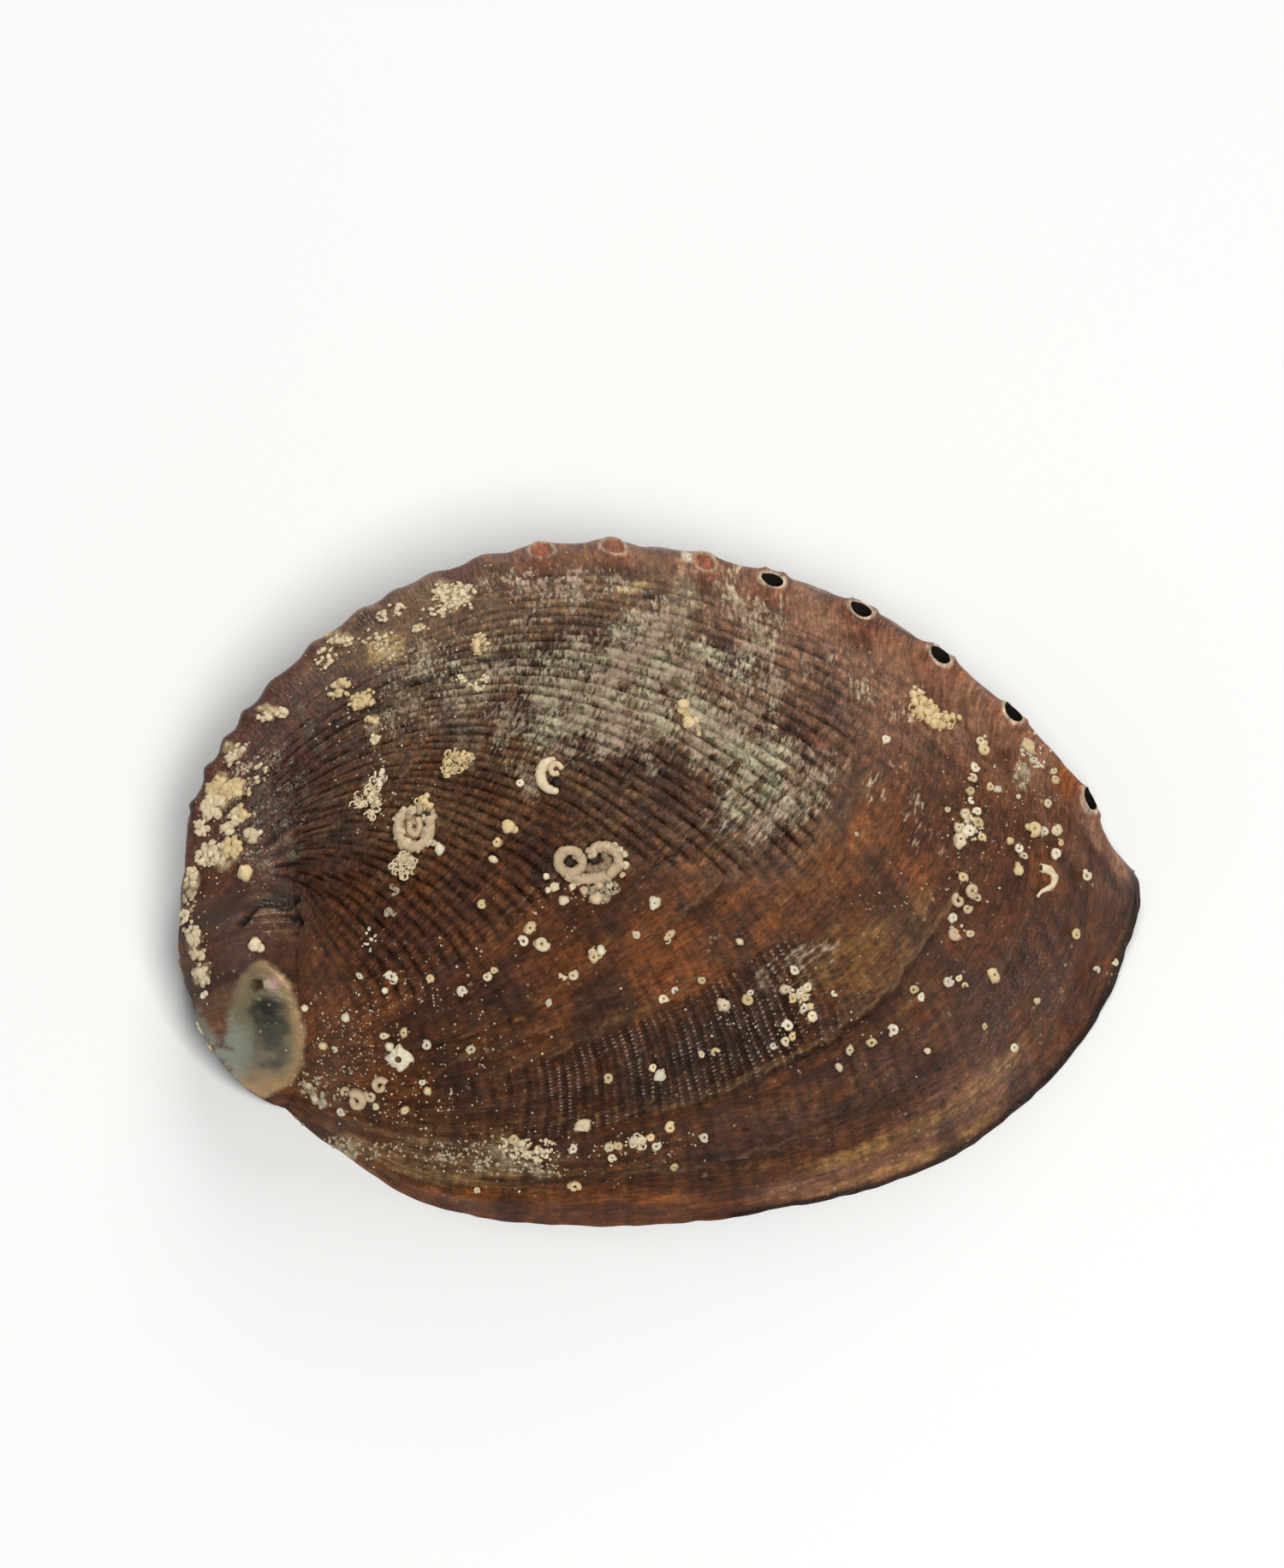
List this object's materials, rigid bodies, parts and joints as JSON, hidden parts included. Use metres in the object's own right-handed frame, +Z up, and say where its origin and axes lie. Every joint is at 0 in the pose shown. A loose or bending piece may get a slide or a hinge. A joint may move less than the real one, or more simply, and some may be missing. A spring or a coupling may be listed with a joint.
{
  "type": "abalone shell",
  "caption": "Empty abalone shell, a low ear-shaped dome with a row of breathing holes and a small worn spire, lying on its open side.",
  "frame": {"origin": "under the middle of the shell's bounding box, on the plane it lies on", "axes": "+X towards the growing lip, +Y towards the row of breathing holes, +Z up, from the open side to the back"},
  "size_m": [0.12, 0.091, 0.0299],
  "materials": {
    "shell": "glossy, wet-looking reddish brown outside, silvery nacre inside",
    "worm_lime": "matt cream and ochre lime",
    "barnacle_lime": "matt pale lime"
  },
  "bodies": {
    "root": {"shell": "shell", "worm_tube_twin": "worm_lime", "worm_tube_coil": "worm_lime", "worm_tube_crescent": "worm_lime", "worm_tube_knot": "worm_lime", "star_barnacle": "barnacle_lime"}
  },
  "joints": []
}
